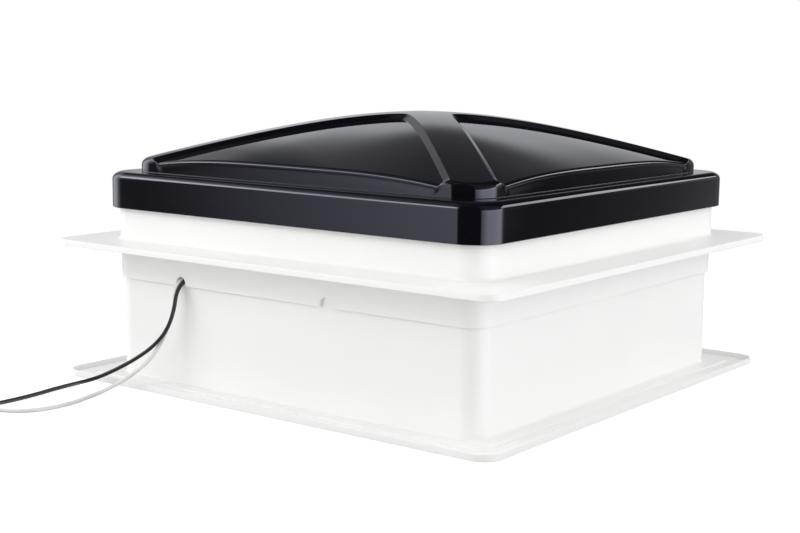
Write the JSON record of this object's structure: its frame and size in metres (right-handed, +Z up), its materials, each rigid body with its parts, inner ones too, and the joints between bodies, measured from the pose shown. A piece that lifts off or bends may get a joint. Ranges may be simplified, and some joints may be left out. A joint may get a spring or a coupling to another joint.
{
  "type": "caravan roof vent",
  "caption": "Square caravan roof vent: domed crank-up lid, roof flange and collar, 12 V fan and insect screen inside, telescoping ceiling garnish and two supply wires.",
  "frame": {"origin": "centre of the ceiling garnish's underside, with the garnish set as in the picture for a roof about 99 mm thick", "axes": "+Z up to the sky; -Y is the side where the supply wires leave; +Y is the hinge side; +X is the side of the crank and the switches"},
  "size_m": [0.4193, 0.5545, 0.2096],
  "materials": {
    "white_abs": "moulded white ABS, satin",
    "black_lid": "moulded black ABS and acrylic lid, high gloss",
    "seal_rubber": "black EPDM sponge seal",
    "steel": "zinc-plated steel",
    "screws": "zinc-plated screws",
    "aluminium": "extruded aluminium",
    "motor_can": "black painted steel can",
    "magnet": "ferrite",
    "fan_plastic": "glass-filled nylon, dark grey",
    "nylon": "natural nylon",
    "acetal": "black acetal",
    "brass": "turned brass",
    "grey_knob": "moulded grey ABS",
    "switch_black": "moulded black nylon",
    "screen_mesh": "black coated glass-fibre yarn",
    "wire_black": "black PVC insulation",
    "wire_white": "white PVC insulation",
    "copper": "tinned copper strands"
  },
  "bodies": {
    "base": {"base_frame": "white_abs", "neck_seal": "seal_rubber", "hinge_pins": "steel", "fan_shroud": "white_abs", "shroud_screws": "screws", "motor_bracket": "steel", "bracket_screws": "screws", "motor_housing": "motor_can", "motor_end_cap": "steel", "motor_magnets": "magnet", "gear_housing": "nylon", "gear_cover": "nylon", "gear_screws": "screws", "control_fascia": "white_abs", "fascia_screws": "screws", "speed_switch": "switch_black", "rocker_switch": "switch_black", "insect_screen_frame": "white_abs", "insect_mesh": "screen_mesh", "supply_wire_clamp": "switch_black", "clamp_screw": "screws", "supply_wire_black": "wire_black", "supply_wire_white": "wire_white", "wire_end_black": "copper", "wire_end_white": "copper"},
    "lid": {"lid": "black_lid", "lid_rail": "aluminium", "rail_bracket_front": "aluminium", "rail_bracket_rear": "aluminium", "rail_screws": "screws"},
    "lift_arm": {"worm_wheel": "acetal", "arm_shaft": "steel", "lift_arm": "steel", "shoe_pin": "steel"},
    "slide_shoe": {"slide_shoe": "acetal"},
    "fan": {"motor_rotor": "steel", "motor_shaft": "steel", "fan_impeller": "fan_plastic", "impeller_nut": "brass"},
    "crank": {"crank_shaft": "steel", "worm_gear": "brass", "crank_knob": "grey_knob", "crank_knob_screw": "screws"},
    "speed_knob": {"speed_knob": "grey_knob"},
    "rocker_button": {"rocker_button": "switch_black"},
    "garnish": {"ceiling_garnish": "white_abs"},
    "latch_1": {"screen_latch_1": "grey_knob"},
    "latch_2": {"screen_latch_2": "grey_knob"},
    "latch_3": {"screen_latch_3": "grey_knob"},
    "latch_4": {"screen_latch_4": "grey_knob"}
  },
  "joints": [
    {"name": "lid_hinge", "type": "hinge", "parent": "base", "child": "lid", "pos_m": [0, 0.189, 0.135], "axis": [-1, 0, 0], "range_deg": [0, 60]},
    {"name": "lift_arm_pivot", "type": "hinge", "parent": "base", "child": "lift_arm", "pos_m": [0.143, 0.039, 0.135], "axis": [-1, 0, 0], "range_deg": [0, 120]},
    {"name": "shoe_pivot", "type": "hinge", "parent": "lift_arm", "child": "slide_shoe", "pos_m": [0.135, -0.111, 0.135], "axis": [-1, 0, 0], "range_deg": [-60, 0]},
    {"name": "crank_turn", "type": "hinge", "parent": "base", "child": "crank", "pos_m": [0.1537, 0.019, 0.08], "axis": [0, 0, 1], "range_deg": [0, 2400]},
    {"name": "fan_spin", "type": "hinge", "parent": "base", "child": "fan", "pos_m": [0, 0, 0.11], "axis": [0, 0, 1], "continuous": true},
    {"name": "speed_turn", "type": "hinge", "parent": "base", "child": "speed_knob", "pos_m": [0.146, -0.062, 0.075], "axis": [0, 0, -1], "range_deg": [0, 270]},
    {"name": "rocker_tilt", "type": "hinge", "parent": "base", "child": "rocker_button", "pos_m": [0.146, -0.104, 0.082], "axis": [1, 0, 0], "range_deg": [-8, 8]},
    {"name": "garnish_slide", "type": "slide", "parent": "base", "child": "garnish", "axis": [0, 0, 1], "range_m": [-0.012, 0]},
    {"name": "latch_1_turn", "type": "hinge", "parent": "base", "child": "latch_1", "pos_m": [-0.1558, -0.1514, 0.078], "axis": [0, 0, 1], "range_deg": [0, 90]},
    {"name": "latch_2_turn", "type": "hinge", "parent": "base", "child": "latch_2", "pos_m": [-0.1558, 0.1514, 0.078], "axis": [0, 0, 1], "range_deg": [0, 90]},
    {"name": "latch_3_turn", "type": "hinge", "parent": "base", "child": "latch_3", "pos_m": [0.108, -0.1514, 0.078], "axis": [0, 0, 1], "range_deg": [0, 90]},
    {"name": "latch_4_turn", "type": "hinge", "parent": "base", "child": "latch_4", "pos_m": [0.108, 0.1514, 0.078], "axis": [0, 0, 1], "range_deg": [0, 90]}
  ],
  "couplings": [
    {"joint": "lift_arm_pivot", "follows": "lid_hinge", "ratio": 2},
    {"joint": "shoe_pivot", "follows": "lid_hinge", "ratio": -1},
    {"joint": "crank_turn", "follows": "lid_hinge", "ratio": 40}
  ]
}
